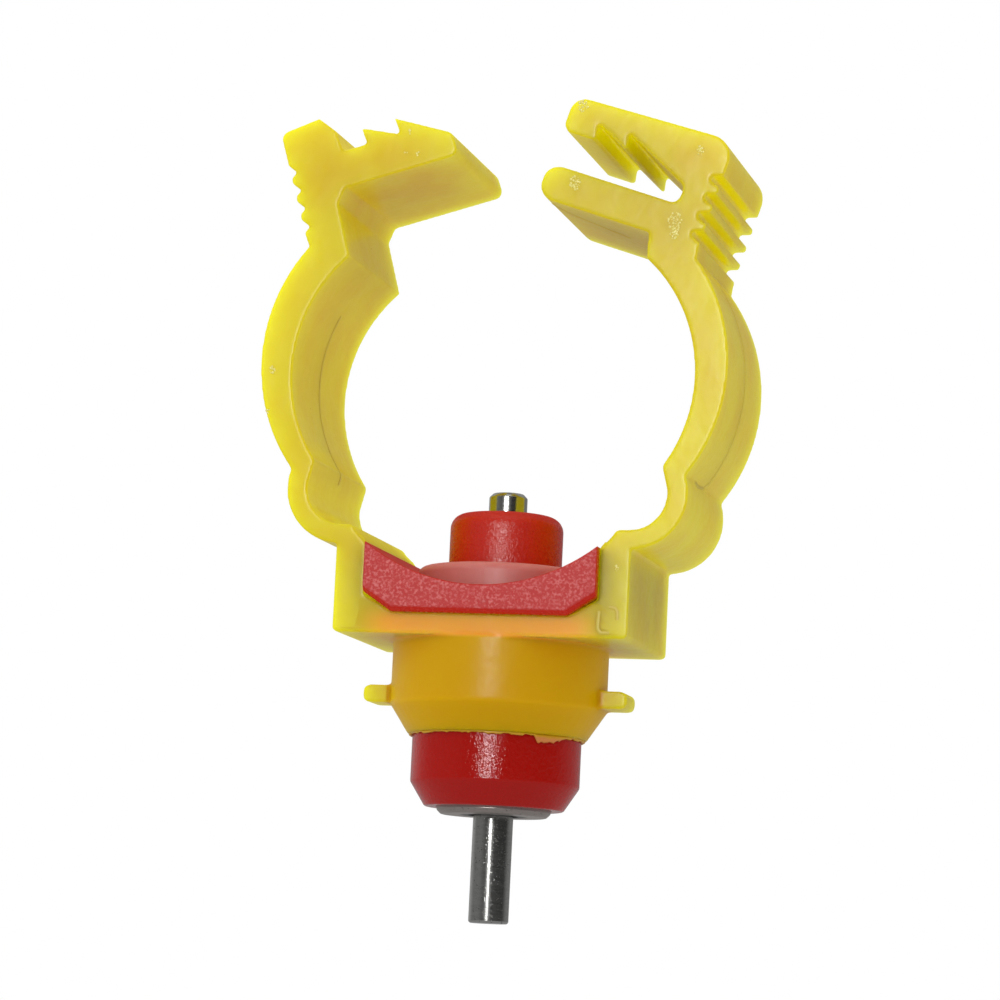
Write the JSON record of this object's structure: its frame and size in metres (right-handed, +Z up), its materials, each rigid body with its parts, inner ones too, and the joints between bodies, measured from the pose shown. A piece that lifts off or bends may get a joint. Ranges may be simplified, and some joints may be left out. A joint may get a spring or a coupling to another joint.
{
  "type": "poultry nipple drinker",
  "caption": "Nipple drinker for poultry: a yellow plastic pipe clamp with toothed jaws holds a red valve body with a steel trigger pin.",
  "frame": {"origin": "on the axis of the water pipe, at the middle of the clamp: the centre of the saddle's arc", "axes": "+Z up along the nipple's axis, +Y along the pipe, +X towards the arm that carries the jaw"},
  "size_m": [0.0336, 0.0164, 0.0579],
  "materials": {
    "clamp_plastic": "translucent yellow polypropylene, satin",
    "body_plastic": "red moulded plastic, satin, with textured saddle faces",
    "seal_rubber": "soft dusty pink silicone",
    "gasket_rubber": "black rubber",
    "steel": "turned stainless steel"
  },
  "bodies": {
    "housing": {"clamp": "clamp_plastic", "nipple_body": "body_plastic", "seal_ring": "seal_rubber", "gasket": "gasket_rubber", "upper_seat": "steel", "valve_insert": "steel"},
    "valve": {"upper_pin": "steel"},
    "trigger": {"trigger_pin": "steel"}
  },
  "joints": [
    {"name": "valve_lift", "type": "slide", "parent": "housing", "child": "valve", "axis": [0, 0, 1], "range_m": [0, 0.001]},
    {"name": "trigger_tilt", "type": "hinge", "parent": "valve", "child": "trigger", "pos_m": [0, 0, -0.02623], "axis": [0, 1, 0], "range_deg": [-4.5, 4.5]}
  ]
}
